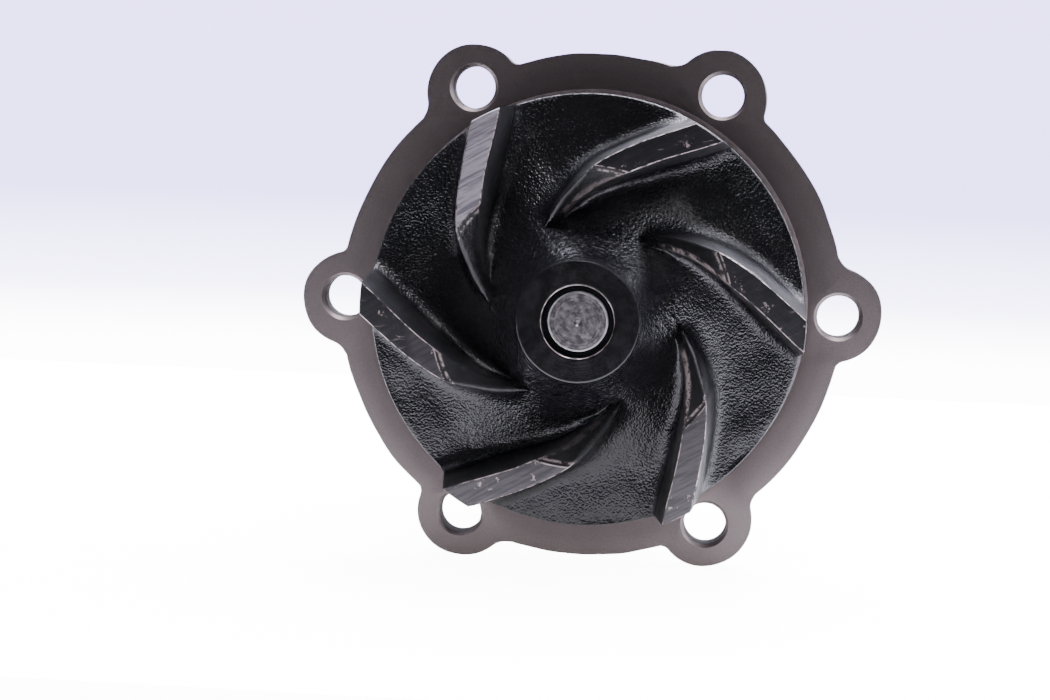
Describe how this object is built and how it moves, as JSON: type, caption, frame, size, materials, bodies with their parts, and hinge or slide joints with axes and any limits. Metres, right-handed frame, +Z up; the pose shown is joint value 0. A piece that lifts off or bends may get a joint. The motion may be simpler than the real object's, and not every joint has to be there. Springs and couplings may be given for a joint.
{
  "type": "coolant pump",
  "caption": "Engine coolant pump with an eared round flange, a semi-open swept-vane impeller, a sealed bearing shaft and a flanged pulley hub.",
  "frame": {"origin": "centre of the mounting face on the shaft axis", "axes": "-Y along the shaft out of the mounting face towards the impeller, +Y towards the pulley, +Z up between the two upper ears"},
  "size_m": [0.1244, 0.1305, 0.1108],
  "materials": {
    "cast_housing": "satin, machined face with as-cast back",
    "impeller_paint": "gloss black over pebbly cast iron",
    "turned_steel": "turned, bright",
    "bearing_steel": "ground",
    "polished_steel": "polished",
    "cage_polymer": "matte natural nylon",
    "lip_rubber": "matte",
    "spring_steel": "phosphated",
    "pressed_brass": "satin",
    "black_rubber": "matte",
    "stainless": "bright drawn wire",
    "carbon": "lapped, dark grey",
    "ceramic": "lapped, off-white",
    "hub_steel": "turned, oiled"
  },
  "bodies": {
    "housing": {"pump_housing": "cast_housing", "bearing_outer_ring": "bearing_steel", "front_bearing_seal": "lip_rubber", "rear_bearing_seal": "lip_rubber", "bearing_circlip": "spring_steel", "seal_cup": "pressed_brass", "seal_bellows": "black_rubber", "seal_spring": "stainless", "seal_nose_ferrule": "stainless", "seal_clamp_ring": "stainless", "carbon_face_ring": "carbon"},
    "rotor": {"shaft": "turned_steel", "impeller": "impeller_paint", "pulley_hub": "hub_steel", "seal_mating_ring": "ceramic", "mating_ring_boot": "black_rubber", "seal_sleeve": "stainless", "shaft_slinger": "spring_steel"},
    "ball_train": {"ball_cage": "cage_polymer", "bearing_balls": "polished_steel"},
    "roller_train": {"roller_cage": "cage_polymer", "bearing_rollers": "polished_steel"}
  },
  "joints": [
    {"name": "rotor_spin", "type": "hinge", "parent": "housing", "child": "rotor", "pos_m": [0, 0, 0], "axis": [0, -1, 0], "continuous": true},
    {"name": "ball_orbit", "type": "hinge", "parent": "housing", "child": "ball_train", "pos_m": [0, 0.036, 0], "axis": [0, -1, 0], "continuous": true},
    {"name": "roller_orbit", "type": "hinge", "parent": "housing", "child": "roller_train", "pos_m": [0, 0.053, 0], "axis": [0, -1, 0], "continuous": true}
  ],
  "couplings": [
    {"joint": "ball_orbit", "follows": "rotor_spin", "ratio": 0.354},
    {"joint": "roller_orbit", "follows": "rotor_spin", "ratio": 0.377}
  ]
}
